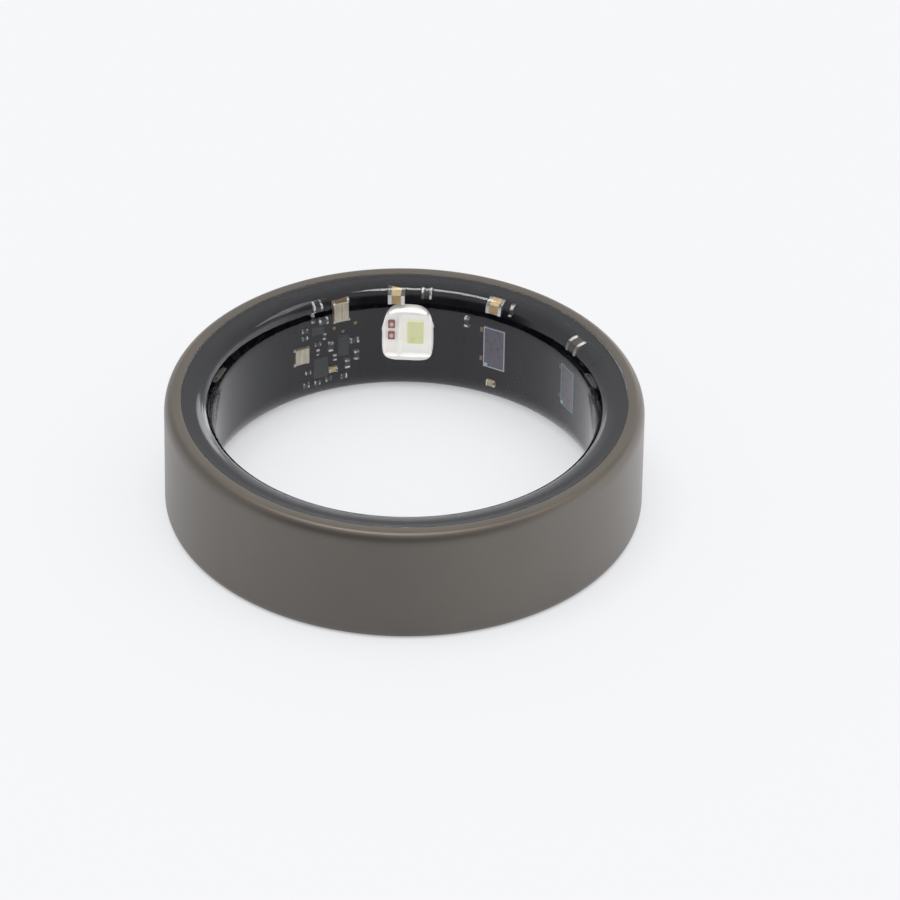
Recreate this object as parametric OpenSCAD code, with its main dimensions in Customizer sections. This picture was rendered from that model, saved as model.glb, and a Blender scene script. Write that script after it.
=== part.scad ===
// Smart ring: a metal band, a clear cast liner with a raised sensor window, and between them a
// folded sensor circuit, a curved battery and a charging coil.
// The ring stands on its lower rim at z = 0 with the bore along Z. Angles go round the bore from
// +X, and the emitter lies near +Y. Each board has a frame of its own: x to the right and y up as
// seen from the bore, z off the board's face towards the bore.

/* [Band] */
// Inner diameter, which sets the finger size
bore_d = 21.8; // [21:0.1:22.6]
// Width along the finger
ring_w = 7; // [6.9:0.1:7.6]
// Thickness from the bore to the outer rims
wall_t = 2.8; // [2.75:0.05:3.1]
// Thickness of the metal outside the channel
shell_t = 0.8; // [0.6:0.05:0.85]
// Rounding of the two outer edges
rim_r = 0.4; // [0.3:0.05:0.6]
// Height of the lip at each rim
lip_h = 0.4; // [0.3:0.05:0.45]
// How far each lip reaches inwards past the channel wall
lip_reach = 0.27; // [0.2:0.01:0.35]
// Thickness of the insulating film on the channel wall
film_t = 0.05; // [0.03:0.01:0.08]

/* [Liner] */
// How far the liner's rim face lies below the metal rim
liner_recess = 0.05; // [0.03:0.01:0.12]
// Radius of the long comfort curve into the bore
comfort_r = 2; // [1.6:0.1:2.4]
// Angle that the long comfort curve turns through
comfort_turn = 30; // [26:1:34]
// Radius of the short curve at the liner's rim
edge_r = 0.8; // [0.6:0.05:0.9]
// Diameter of the raised sensor window at its foot
window_d = 3.75; // [3.6:0.05:4]
// Height of the window above the bore
window_rise = 0.16; // [0.1:0.01:0.17]
// Width of the window's sloping side
window_slope = 0.12; // [0.05:0.01:0.2]
// Thickness of the liner over the battery
battery_cover = 0.6; // [0.5:0.05:0.7]

/* [Circuit] */
// Thickness of the flexible strip
flex_t = 0.12; // [0.08:0.01:0.15]
// Thickness of each stiff board
board_t = 0.25; // [0.2:0.01:0.28]
// Length of the processor board
processor_l = 4.9; // [4.7:0.1:5.2]
// Length of the emitter board
emitter_l = 4.5; // [4.3:0.1:4.7]
// Length of each receiver board
receiver_l = 4; // [3.8:0.1:4.1]
// Length of the power board
power_l = 4; // [3.8:0.1:4.1]
// Direction of the processor board
processor_at = 114; // [113:0.5:116]
// Direction of the emitter board
emitter_at = 86; // [85.5:0.1:86.5]
// Direction of the receiver board next to the emitter
near_receiver_at = 63.6; // [63:0.1:64]
// Direction of the receiver board further from the emitter
far_receiver_at = 34; // [33:0.5:36]
// Direction of the power board
power_at = -58; // [-59:0.5:-57]

/* [Sensors] */
// Width of the emitter package round the ring
package_w = 3; // [2.9:0.05:3.1]
// Height of the emitter package across the ring
package_l = 3.4; // [3.2:0.05:3.5]
// Depth of the emitter package
package_h = 0.85; // [0.7:0.05:0.95]
// Thickness of the package's floor
package_floor = 0.35; // [0.25:0.05:0.45]
// Thickness of the package's walls and of the divider between its cavities
package_wall = 0.16; // [0.12:0.01:0.2]
// Width of the cavity with the red and infrared dies
narrow_cavity_w = 0.75; // [0.65:0.05:0.9]
// Side of the green die round the ring
green_w = 0.95; // [0.8:0.05:1.1]
// Side of the green die across the ring
green_l = 1.45; // [1.2:0.05:1.6]
// Width of a red or infrared die
red_w = 0.4; // [0.3:0.05:0.5]
// Length of a red or infrared die
red_l = 0.5; // [0.4:0.05:0.6]
// Thickness of the emitter dies
emitter_die_t = 0.14; // [0.1:0.01:0.18]
// Width of a photodiode round the ring
diode_w = 1.45; // [1.3:0.05:1.55]
// Length of a photodiode across the ring
diode_l = 2.78; // [2.6:0.02:2.9]
// Thickness of a photodiode
diode_t = 0.2; // [0.12:0.01:0.3]
// Width of the metal outline on a photodiode
guard_w = 0.07; // [0.05:0.01:0.12]

/* [Board parts] */
// Side of a crystal round the ring
crystal_w = 1.05; // [0.95:0.05:1.15]
// Side of a crystal across the ring
crystal_l = 1.12; // [1:0.02:1.2]
// Thickness of a crystal's ceramic base
crystal_base_t = 0.18; // [0.12:0.01:0.25]
// Thickness of a crystal's metal lid
crystal_lid_t = 0.12; // [0.08:0.01:0.15]
// Margin of the ceramic base round the lid
crystal_margin = 0.06; // [0.04:0.01:0.1]
// Length of a bulk capacitor
bulk_l = 1; // [0.9:0.05:1.1]
// Width and height of a bulk capacitor
bulk_w = 0.5; // [0.4:0.05:0.55]
// Length of a medium two-ended part
medium_l = 0.6; // [0.5:0.05:0.65]
// Width and height of a medium two-ended part
medium_w = 0.3; // [0.25:0.01:0.32]
// Length of a small two-ended part
small_l = 0.4; // [0.35:0.01:0.45]
// Width and height of a small two-ended part
small_w = 0.2; // [0.15:0.01:0.22]
// Height of the dark chips
chip_h = 0.35; // [0.25:0.01:0.45]

/* [Battery] */
// Angle at which the battery starts, past the processor board
battery_from = 131; // [130:1:134]
// Angle at which the battery ends, before the power board
battery_to = 288; // [280:1:288]
// Space between each edge of the battery and the lip
battery_room = 0.3; // [0.25:0.05:0.6]
// Rounding of the battery's long edges
battery_edge_r = 0.3; // [0.2:0.05:0.4]
// Thickness of the battery's wrap
wrap_t = 0.05; // [0.03:0.01:0.08]
// Thickness of the adhesive behind the battery
adhesive_t = 0.06; // [0.03:0.01:0.08]

/* [Charging coil] */
// Number of turns
coil_turns = 7; // [4:1:8]
// Share of the coil's height that its turns take up, the rest being the space in the middle
winding_share = 0.91; // [0.7:0.01:0.94]
// Width of the copper track as a share of the distance from one turn to the next
track_share = 0.67; // [0.5:0.01:0.75]
// Thickness of the copper track
track_t = 0.07; // [0.04:0.01:0.08]
// Space between the coil and the two ends of its stretch of the strip
coil_end_room = 0.65; // [0.3:0.05:1.2]
// Space between the coil and the strip's lower edge
coil_room = 0.34; // [0.2:0.02:0.5]
// Space between the coil and the antenna track
antenna_gap = 0.46; // [0.3:0.02:0.6]
// Width of the antenna track above the coil
antenna_w = 0.4; // [0.2:0.05:0.5]

/* [Hidden] */
$fn = 144;

// Clearances, and the overrun of every cut
cast_gap = 0.02;
bond_gap = 0.005;
edge_room = 0.1;
over = 0.5;

// Radii of the band and the channel
bore_r = bore_d / 2;
ring_r = bore_r + wall_t;
channel_r = ring_r - shell_t;
film_r = channel_r - film_t;
lip_r = channel_r - lip_reach;
mid_h = ring_w / 2;
channel_half = mid_h - lip_h;

// The comfort curve is two arcs that share a tangent
liner_top = mid_h - liner_recess;
curve_join = liner_top - edge_r * (1 - sin(comfort_turn));
bore_half = curve_join - comfort_r * sin(comfort_turn);
edge_centre_r = bore_r + comfort_r * (1 - cos(comfort_turn)) + edge_r * cos(comfort_turn);

// Boards in order round the ring, and the strip that carries them. The strip's back touches the
// film at the corners of the longest board. Stops of no length hold the round stretch under the coil
POWER = 0;
FAR = 1;
NEAR = 2;
EMITTER = 3;
PROCESSOR = 4;
board_at = [power_at, far_receiver_at, near_receiver_at, emitter_at, processor_at];
board_l = [power_l, receiver_l, receiver_l, emitter_l, processor_l];
board_h = 2 * (channel_half - edge_room);
strip_r = sqrt(pow(film_r - cast_gap, 2) - pow(max(board_l) / 2, 2));
strip_front = strip_r - flex_t;
face_r = strip_front - bond_gap - board_t;
coil_from = -38;
coil_to = 14;
stop_at = [power_at, coil_from, coil_to, far_receiver_at, near_receiver_at, emitter_at, processor_at];
stop_l = [power_l, 0, 0, receiver_l, receiver_l, emitter_l, processor_l];
last_stop = len(stop_at) - 1;

// Emitter package, with the places of its dies
package_edge_r = 0.25;
package_x_share = -0.3;
package_y_share = 0.06;
capacitor_gap = 0.21;
neighbour_gap = 0.49;
cavity_l = package_l - 4 * package_wall;
wide_cavity_w = package_w - narrow_cavity_w - 3 * package_wall;
narrow_cavity_x = -package_w / 2 + package_wall + narrow_cavity_w / 2;
wide_cavity_x = package_w / 2 - package_wall - wide_cavity_w / 2;
cavity_h = package_h - package_floor;
red_y_share = 0.42;
infrared_y_share = -0.13;
green_y_share = 0.05;
window_at = 88.8;

// Photodiodes and the pads beside them
diode_x_share = 0.05;
diode_y_share = -0.03;
metal_t = 0.02;
bond_pad_d = 0.22;
side_pad_w = 0.18;
side_pad_l = 0.3;
side_pad_t = 0.04;
side_pad_gap = 0.12;
side_pad_shares = [0.755, -0.69];

// Crystals and chips: their places, and the sizes of the chips, are shares of their board's half
// length and half height
radio_crystal_shares = [0.43, 0.6];
clock_crystal_shares = [-0.64, -0.17];
radio_shares = [-0.13, -0.54];
radio_fill_shares = [0.376, 0.433];
motion_shares = [-0.2, 0.34];
motion_fill_shares = [0.327, 0.167];
front_end_shares = [0.48, -0.14];
front_end_fill_shares = [0.278, 0.453];
manager_shares = [-0.45, 0.45];
manager_fill_shares = [0.85, 0.567];
memory_shares = [-0.45, -0.45];
memory_fill_shares = [0.75, 0.433];
protection_shares = [0.45, 0.55];
protection_fill_shares = [0.45, 0.3];
inductor_shares = [0.45, -0.15];
inductor_fill_shares = [0.45, 0.467];
inductor_h = 0.6;
inductor_edge_r = 0.15;

// End caps as a share of a two-ended part's length, and how far they stand proud of the body
end_share = 0.22;
cap_proud = 0.01;

// Two-ended parts: board, shares of its half length and half height, and 1 where the part stands
// upright
BULK = [[EMITTER, -0.62, above_package(bulk_w, capacitor_gap), 0], [NEAR, 0, 0.84, 0], [FAR, 0.1, 0.86, 0]];
SMALL = [
    [PROCESSOR, -0.33, 0.6, 1], [PROCESSOR, -0.56, 0.39, 0], [PROCESSOR, -0.56, 0.22, 0],
    [PROCESSOR, -0.02, 0.16, 1], [PROCESSOR, -0.2, 0.01, 0], [PROCESSOR, -0.2, -0.18, 1],
    [PROCESSOR, 0.265, -0.39, 1], [PROCESSOR, 0.1, -0.85, 0], [PROCESSOR, 0.51, -0.86, 0],
    [PROCESSOR, -0.47, -0.6, 0], [PROCESSOR, -0.52, -0.87, 0], [PROCESSOR, -0.21, -0.87, 0],
    [NEAR, 0.52, 0.81, 1]
];
MEDIUM = [
    [PROCESSOR, -0.17, 0.77, 0], [PROCESSOR, -0.05, 0.515, 0], [PROCESSOR, 0.15, -0.11, 1],
    [PROCESSOR, 0.78, -0.08, 0], [PROCESSOR, 0.84, -0.43, 1], [PROCESSOR, 0.6, -0.59, 1],
    [EMITTER, 0.18, above_package(medium_w, neighbour_gap), 0], [POWER, 0.45, -0.8, 0], [POWER, 0.9, 0.55, 1],
    [POWER, 0.9, -0.1, 1]
];
TAN_MEDIUM = [[PROCESSOR, 0.21, -0.66, 0], [NEAR, -0.04, -0.84, 0]];
THERMISTOR = [NEAR, -0.88, 0.42, 1];

// Round test pads on the processor board
test_pad_d = 0.22;
test_pad_shares = [[0.26, 0.28], [0.5, 0.16], [0.83, 0.3]];
pad_t = 0.03;

// Pads in front of the emitter package, and the trace between them
emitter_pad_w = 0.22;
emitter_pad_l = 0.26;
emitter_pad_x_shares = [-0.24, 0.14];
emitter_trace_w = 0.08;

// Battery
battery_r = bore_r + battery_cover;
battery_back_r = film_r - adhesive_t - 2 * cast_gap;
battery_h = 2 * (channel_half - battery_room);
tab_w = 0.8;
tab_t = 0.06;
tab_y_shares = [0.06, -0.72];
tab_seat_share = 0.72;

// Ferrite, coil and antenna on the round stretch of the strip
coil_mid = (coil_from + coil_to) / 2;
track_r = strip_front - bond_gap - track_t;
cover_t = 0.03;
antenna_low = board_h / 2 - 1.5 * antenna_w;
coil_h = board_h / 2 - coil_room + antenna_low - antenna_gap;
coil_mid_y = antenna_low - antenna_gap - coil_h / 2;
track_pitch = winding_share * coil_h / 2 / coil_turns;
track_w = track_share * track_pitch;

// The height share of a part above the emitter package, with a gap between them
function above_package(w, gap) = package_y_share + (package_l + w + 2 * gap) / board_h;

// Angle that a length takes up at a radius, to a hundredth of a degree
function turn_of(length, r) = round(length / r * 18000 / PI) / 100;
coil_half_turn = (coil_to - coil_from) / 2 - turn_of(coil_end_room, strip_front);

// Half the angle between a stop and the next, how far the bend between them reaches to either
// side of the corner, and its radius at the strip's back
function half_turn(i) = (stop_at[i + 1] - stop_at[i]) / 2;
function to_corner(i) = strip_r * tan(half_turn(i));
function bend_reach(i) = to_corner(i) - max(stop_l[i], stop_l[i + 1]) / 2;
function bend_r(i) = bend_reach(i) / tan(half_turn(i));

// A point at a radius on a direction, moved along the tangent there
function polar(r, angle, along) = [r * cos(angle) - along * sin(angle), r * sin(angle) + along * cos(angle)];

// A block that follows the ring between two angles and two heights over mid width
module arc_block(inner, outer, from, to, low, high) {
    translate([0, 0, mid_h])
        rotate_extrude(angle = to - from, start = from)
        translate([inner, low])
        square([outer - inner, high - low]);
}

// A plate with round corners, centred, standing on z = 0
module plate(w, l, t, r) {
    linear_extrude(t) {
        square([w - 2 * r, l], center = true);
        square([w, l - 2 * r], center = true);
        for (x = [-1, 1], y = [-1, 1])
            translate([x * (w / 2 - r), y * (l / 2 - r)])
                circle(r, $fn = 32);
    }
}

// A box, centred, standing on z = 0, with a margin on every side
module box(w, l, t, margin = 0) {
    translate([-w / 2 - margin, -l / 2 - margin, -margin])
        cube([w + 2 * margin, l + 2 * margin, t + 2 * margin]);
}

// Puts its children in the frame of a board, at shares of its half length and half height
module on_board(board, x_share = 0, y_share = 0, r = face_r) {
    rotate([0, 0, board_at[board]])
        translate([r - bond_gap, 0, mid_h])
        rotate([90, 0, -90])
        translate([x_share * board_l[board] / 2, y_share * board_h / 2, 0])
        children();
}

// Metal band
module shell_profile() {
    difference() {
        translate([lip_r, -mid_h])
            square([ring_r - rim_r - lip_r, ring_w]);
        translate([lip_r - over, -channel_half])
            square([lip_reach + over, 2 * channel_half]);
    }
    translate([channel_r, rim_r - mid_h])
        square([shell_t, ring_w - 2 * rim_r]);
    for (side = [-1, 1])
        translate([ring_r - rim_r, side * (mid_h - rim_r)])
            circle(rim_r);
}

module outer_shell() {
    color([0.36, 0.34, 0.31])
        translate([0, 0, mid_h])
        rotate_extrude()
        shell_profile();
}

module insulating_film() {
    color([0.05, 0.05, 0.055])
        translate([0, 0, mid_h])
        rotate_extrude()
        translate([film_r, cast_gap - channel_half])
        square([film_t, 2 * (channel_half - cast_gap)]);
}

// Clear liner
module liner_profile() {
    difference() {
        intersection() {
            translate([bore_r, -liner_top])
                square([lip_r - cast_gap - bore_r, 2 * liner_top]);
            union() {
                translate([bore_r, -bore_half])
                    square([wall_t, 2 * bore_half]);
                for (side = [-1, 1])
                    translate([bore_r + comfort_r, side * bore_half])
                        circle(comfort_r);
            }
        }
        for (side = [0, 1])
            mirror([0, side])
                difference() {
                    translate([bore_r, curve_join])
                        square([edge_centre_r - bore_r, liner_top]);
                    translate([edge_centre_r, liner_top - edge_r])
                        circle(edge_r);
                }
    }
    translate([edge_centre_r, cast_gap - channel_half])
        square([film_r - cast_gap - edge_centre_r, 2 * (channel_half - cast_gap)]);
}

// The window stands in the bore with a sloping side, and its face follows the bore
module sensor_window() {
    foot_r = bore_r + window_rise;
    difference() {
        rotate([0, 0, window_at])
            translate([foot_r, 0, mid_h])
            rotate([0, -90, 0])
            cylinder(h = 3 * window_rise, d1 = window_d + window_slope, d2 = window_d - 2 * window_slope);
        cylinder(h = ring_w, r = bore_r - window_rise);
    }
}

// The area within the strip's back, moved in by a depth: straight at each stop and round between
module within_strip(depth, end_room) {
    r = strip_r - depth;
    difference() {
        polygon([
            polar(0, stop_at[0], -stop_l[0] / 2 - end_room),
            polar(r, stop_at[0], -stop_l[0] / 2 - end_room),
            for (i = [0 : last_stop - 1])
                polar(r / cos(half_turn(i)), stop_at[i] + half_turn(i), 0),
            polar(r, stop_at[last_stop], stop_l[last_stop] / 2 + end_room),
            polar(0, stop_at[last_stop], stop_l[last_stop] / 2 + end_room)
        ]);
        for (i = [0 : last_stop - 1])
            rotate(stop_at[i] + half_turn(i))
                translate([(strip_r - bend_r(i)) / cos(half_turn(i)), 0])
                difference() {
                    polygon([
                        [0, 0],
                        polar(2 * ring_r, -half_turn(i), 0),
                        polar(2 * ring_r, half_turn(i), 0)
                    ]);
                    circle(bend_r(i) - depth, $fn = 360);
                }
    }
}

// The strip, with room added at its face and its back, at its ends and along its edges
module strip(front_room = 0, back_room = 0, end_room = 0, half_height = board_h / 2) {
    translate([0, 0, mid_h - half_height])
        linear_extrude(2 * half_height)
        difference() {
            within_strip(-back_room, end_room);
            within_strip(flex_t + front_room, end_room + over);
        }
}

// Room in the liner for every piece that it is cast round. The boards' room is higher than the
// strip's, so that no two of its faces lie in one plane
module pockets() {
    strip(cast_gap, wall_t, cast_gap, channel_half);
    for (i = [POWER : PROCESSOR])
        on_board(i)
            translate([0, 0, -bond_gap - board_t])
            box(board_l[i], 2 * channel_half, board_t, cast_gap);
    arc_block(battery_r - cast_gap, ring_r, battery_from - turn_of(cast_gap, battery_r),
        battery_to + turn_of(cast_gap, battery_r), -battery_h / 2 - cast_gap, battery_h / 2 + cast_gap);
    arc_block(track_r - bond_gap - cover_t - cast_gap, ring_r, coil_from, coil_to,
        -channel_half, channel_half);
    tab_shapes(cast_gap);
    on_board(EMITTER, package_x_share, package_y_share)
        box(package_w, package_l, package_h, cast_gap);
    for (i = [NEAR, FAR]) {
        on_board(i, diode_x_share, diode_y_share)
            box(diode_w, diode_l, diode_t + bond_gap + metal_t, cast_gap);
        side_pads(i, cast_gap);
    }
    for (p = [radio_crystal_shares, clock_crystal_shares])
        on_board(PROCESSOR, p.x, p.y)
            box(crystal_w, crystal_l, crystal_base_t + bond_gap + crystal_lid_t, cast_gap);
    for (c = chip_list())
        on_board(c[0], c[1].x, c[1].y)
            box(chip_w(c), chip_l(c), c[3], cast_gap);
    for (p = BULK)
        part_room(p, bulk_l, bulk_w);
    for (p = SMALL)
        part_room(p, small_l, small_w);
    for (p = concat(MEDIUM, TAN_MEDIUM, [THERMISTOR]))
        part_room(p, medium_l, medium_w);
    for (p = test_pad_shares)
        on_board(PROCESSOR, p.x, p.y)
            box(test_pad_d, test_pad_d, pad_t, cast_gap);
    emitter_pad_room();
}

function chip_list() = [
    [PROCESSOR, radio_shares, radio_fill_shares, chip_h],
    [PROCESSOR, motion_shares, motion_fill_shares, chip_h],
    [PROCESSOR, front_end_shares, front_end_fill_shares, chip_h],
    [POWER, manager_shares, manager_fill_shares, chip_h],
    [POWER, memory_shares, memory_fill_shares, chip_h],
    [POWER, protection_shares, protection_fill_shares, chip_h],
    [POWER, inductor_shares, inductor_fill_shares, inductor_h]
];
function chip_w(c) = c[2].x * board_l[c[0]] / 2;
function chip_l(c) = c[2].y * board_h / 2;

// Puts its children where a two-ended part lies
module place_part(p) {
    on_board(p[0], p[1], p[2])
        rotate([0, 0, 90 * p[3]])
        children();
}

module part_room(p, l, w) {
    place_part(p)
        box(l, w + 2 * cap_proud, w + cap_proud, cast_gap);
}

module resin_liner() {
    color([0.62, 0.64, 0.68, 0.4])
        difference() {
            union() {
                translate([0, 0, mid_h])
                    rotate_extrude()
                    liner_profile();
                sensor_window();
            }
            pockets();
        }
}

// Circuit strip and its boards
module flex_strip() {
    color([0.12, 0.1, 0.08])
        strip();
}

module board(i) {
    color([0.07, 0.075, 0.08])
        on_board(i)
        translate([0, 0, -bond_gap - board_t])
        plate(board_l[i], board_h, board_t, board_t);
}

module processor_board() {
    board(PROCESSOR);
}

module emitter_board() {
    board(EMITTER);
}

module near_receiver_board() {
    board(NEAR);
}

module far_receiver_board() {
    board(FAR);
}

module power_board() {
    board(POWER);
}

// Each backing fills the space between a flat board's strip and the round film
module section_backings() {
    color([0.2, 0.2, 0.21])
        for (i = [POWER : PROCESSOR])
            intersection() {
                translate([0, 0, mid_h - board_h / 2])
                    cylinder(h = board_h, r = film_r - cast_gap, $fn = 720);
                rotate([0, 0, board_at[i]])
                    translate([strip_r + bond_gap, -board_l[i] / 2, 0])
                    cube([wall_t, board_l[i], ring_w]);
            }
}

// Dark chips
module chip(number) {
    c = chip_list()[number];
    color([0.1, 0.11, 0.13])
        on_board(c[0], c[1].x, c[1].y)
        box(chip_w(c), chip_l(c), c[3]);
}

module radio_processor() {
    chip(0);
}

module motion_sensor() {
    chip(1);
}

module optical_front_end() {
    chip(2);
}

module power_manager() {
    chip(3);
}

module memory_chip() {
    chip(4);
}

module protection_chip() {
    chip(5);
}

module power_inductor() {
    c = chip_list()[6];
    color([0.3, 0.3, 0.31])
        on_board(c[0], c[1].x, c[1].y)
        plate(chip_w(c), chip_l(c), c[3], inductor_edge_r);
}

// Crystals: a ceramic base and a metal lid
module crystal_base(shares) {
    color([0.45, 0.36, 0.25])
        on_board(PROCESSOR, shares.x, shares.y)
        plate(crystal_w, crystal_l, crystal_base_t, crystal_margin);
}

module crystal_lid(shares) {
    color([0.72, 0.68, 0.58])
        on_board(PROCESSOR, shares.x, shares.y, face_r - bond_gap - crystal_base_t)
        plate(crystal_w - 2 * crystal_margin, crystal_l - 2 * crystal_margin, crystal_lid_t, crystal_margin);
}

module radio_crystal_base() {
    crystal_base(radio_crystal_shares);
}

module radio_crystal_lid() {
    crystal_lid(radio_crystal_shares);
}

module clock_crystal_base() {
    crystal_base(clock_crystal_shares);
}

module clock_crystal_lid() {
    crystal_lid(clock_crystal_shares);
}

// Emitter: a white housing with two cavities, dies on their floors and a clear fill
module in_package(x = 0, y = 0, z = 0) {
    on_board(EMITTER, package_x_share, package_y_share)
        translate([x, y, z])
        children();
}

module cavities(inset = 0, top_room = 0) {
    for (c = [[narrow_cavity_x, narrow_cavity_w], [wide_cavity_x, wide_cavity_w]])
        in_package(c[0], 0, package_floor + inset)
            plate(c[1] - 2 * inset, cavity_l - 2 * inset, cavity_h - inset + top_room, package_wall);
}

module emitter_package() {
    color([0.93, 0.93, 0.92])
        difference() {
            in_package()
                plate(package_w, package_l, package_h, package_edge_r);
            cavities(0, over);
        }
}

module red_die(y_share, margin = 0) {
    in_package(narrow_cavity_x, y_share * cavity_l / 2, package_floor + bond_gap)
        box(red_w, red_l, emitter_die_t, margin);
}

module green_die(margin = 0) {
    in_package(wide_cavity_x, green_y_share * cavity_l / 2, package_floor + bond_gap)
        box(green_w, green_l, emitter_die_t, margin);
}

module red_emitter_die() {
    color([0.5, 0.2, 0.17])
        red_die(red_y_share);
}

module infrared_emitter_die() {
    color([0.45, 0.22, 0.2])
        red_die(infrared_y_share);
}

module green_emitter_die() {
    color([0.8, 0.84, 0.5])
        green_die();
}

module emitter_encapsulant() {
    color([0.9, 0.92, 0.95, 0.4])
        difference() {
            cavities(bond_gap);
            red_die(red_y_share, bond_gap);
            red_die(infrared_y_share, bond_gap);
            green_die(bond_gap);
        }
}

// Two solder pads show in front of the package, with a trace between them
module emitter_pad_places() {
    in_package(0, -package_l / 2 - cast_gap - emitter_pad_l / 2)
        children();
}

module emitter_pads() {
    color([0.75, 0.66, 0.45])
        emitter_pad_places() {
            for (s = emitter_pad_x_shares)
                translate([s * package_w, 0, 0])
                    box(emitter_pad_w, emitter_pad_l, pad_t);
            translate([emitter_pad_x_shares[0] * package_w, -emitter_trace_w / 2, 0])
                cube([(emitter_pad_x_shares[1] - emitter_pad_x_shares[0]) * package_w, emitter_trace_w, pad_t]);
        }
}

module emitter_pad_room() {
    emitter_pad_places()
        translate([(emitter_pad_x_shares[0] + emitter_pad_x_shares[1]) * package_w / 2, 0, 0])
        box((emitter_pad_x_shares[1] - emitter_pad_x_shares[0]) * package_w + emitter_pad_w,
            emitter_pad_l, pad_t, cast_gap);
}

// Photodiodes, with a metal outline and a bond pad in the lower left corner
module photodiode(i) {
    color([0.36, 0.34, 0.4])
        on_board(i, diode_x_share, diode_y_share)
        box(diode_w, diode_l, diode_t);
}

module near_photodiode() {
    photodiode(NEAR);
}

module far_photodiode() {
    photodiode(FAR);
}

module photodiode_guard_rings() {
    color([0.78, 0.76, 0.84])
        for (i = [NEAR, FAR])
            on_board(i, diode_x_share, diode_y_share, face_r - bond_gap - diode_t)
                linear_extrude(metal_t)
                difference() {
                    square([diode_w, diode_l], center = true);
                    square([diode_w - 2 * guard_w, diode_l - 2 * guard_w], center = true);
                }
}

module photodiode_bond_pads() {
    color([0.8, 0.86, 0.8])
        for (i = [NEAR, FAR])
            on_board(i, diode_x_share, diode_y_share, face_r - bond_gap - diode_t)
                translate([-diode_w / 2 + guard_w + bond_pad_d / 2, -diode_l / 2 + guard_w + bond_pad_d / 2, 0])
                cylinder(h = metal_t, d = bond_pad_d, $fn = 32);
}

// Pads to the left of a photodiode
module side_pads(i, margin = 0) {
    for (share = side_pad_shares)
        on_board(i, diode_x_share, diode_y_share)
            translate([-diode_w / 2 - side_pad_gap - side_pad_w / 2, share * diode_l / 2, 0])
            box(side_pad_w, side_pad_l, side_pad_t, margin);
}

module board_pads() {
    color([0.78, 0.66, 0.45]) {
        for (i = [NEAR, FAR])
            side_pads(i);
        for (p = test_pad_shares)
            on_board(PROCESSOR, p.x, p.y)
                cylinder(h = pad_t, d = test_pad_d, $fn = 32);
    }
}

// Two-ended parts: a body between two metal ends that stand slightly proud of it
module two_ended_body(l, w) {
    box(l * (1 - 2 * end_share), w, w);
}

module two_ended_caps(l, w) {
    for (side = [-1, 1])
        translate([side * l * (1 - end_share) / 2, 0, 0])
            box(l * end_share, w + 2 * cap_proud, w + cap_proud);
}

module bulk_capacitors() {
    color([0.68, 0.56, 0.38])
        for (p = BULK)
            place_part(p)
                two_ended_body(bulk_l, bulk_w);
}

module bulk_capacitor_caps() {
    color([0.85, 0.84, 0.8])
        for (p = BULK)
            place_part(p)
                two_ended_caps(bulk_l, bulk_w);
}

module small_part_bodies() {
    color([0.1, 0.1, 0.11]) {
        for (p = SMALL)
            place_part(p)
                two_ended_body(small_l, small_w);
        for (p = MEDIUM)
            place_part(p)
                two_ended_body(medium_l, medium_w);
    }
}

module tan_capacitor_bodies() {
    color([0.6, 0.5, 0.32])
        for (p = TAN_MEDIUM)
            place_part(p)
                two_ended_body(medium_l, medium_w);
}

module skin_thermistor() {
    color([0.16, 0.18, 0.16])
        place_part(THERMISTOR)
        two_ended_body(medium_l, medium_w);
}

module small_part_terminals() {
    color([0.85, 0.85, 0.84]) {
        for (p = SMALL)
            place_part(p)
                two_ended_caps(small_l, small_w);
        for (p = concat(MEDIUM, TAN_MEDIUM, [THERMISTOR]))
            place_part(p)
                two_ended_caps(medium_l, medium_w);
    }
}

// Battery: a curved cell with rounded long edges, its wrap, tabs and adhesive
module battery_section(inset) {
    r = battery_edge_r - inset;
    inner = battery_r + inset;
    outer = battery_back_r - inset;
    half = battery_h / 2 - inset;
    translate([inner + r, -half])
        square([outer - inner - 2 * r, 2 * half]);
    translate([inner, -half + r])
        square([outer - inner, 2 * (half - r)]);
    for (x = [inner + r, outer - r], y = [-half + r, half - r])
        translate([x, y])
            circle(r, $fn = 32);
}

module along_battery() {
    translate([0, 0, mid_h])
        rotate_extrude(angle = battery_to - battery_from, start = battery_from)
        children();
}

module battery_cell() {
    color([0.5, 0.5, 0.52])
        along_battery()
        battery_section(wrap_t);
}

module battery_wrap() {
    color([0.06, 0.06, 0.065])
        along_battery()
        difference() {
            battery_section(0);
            battery_section(wrap_t);
        }
}

module battery_adhesive() {
    color([0.25, 0.25, 0.26])
        arc_block(battery_back_r + cast_gap, film_r - cast_gap, battery_from, battery_to,
            -battery_h / 2, battery_h / 2);
}

// The tabs lie on the power board and run to the battery's end
module tab_shapes(margin = 0) {
    for (y = tab_y_shares)
        difference() {
            on_board(POWER, tab_seat_share, y)
                translate([-margin, -margin, 0])
                cube([battery_h, tab_w + 2 * margin, tab_t + margin]);
            arc_block(bore_r, 2 * ring_r, battery_from, battery_to, -mid_h, mid_h);
        }
}

module battery_tabs() {
    color([0.7, 0.7, 0.68])
        tab_shapes();
}

// Charging: ferrite behind the strip, and a spiral track, a cover film and an antenna on its face
module ferrite_sheet() {
    color([0.18, 0.18, 0.19])
        arc_block(strip_r + cast_gap, film_r - cast_gap, coil_from, coil_to, -board_h / 2, board_h / 2);
}

module track(from, to, low, high, inset = 0) {
    arc_block(track_r + inset, track_r + track_t - inset, from, to, coil_mid_y + low, coil_mid_y + high);
}

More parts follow.
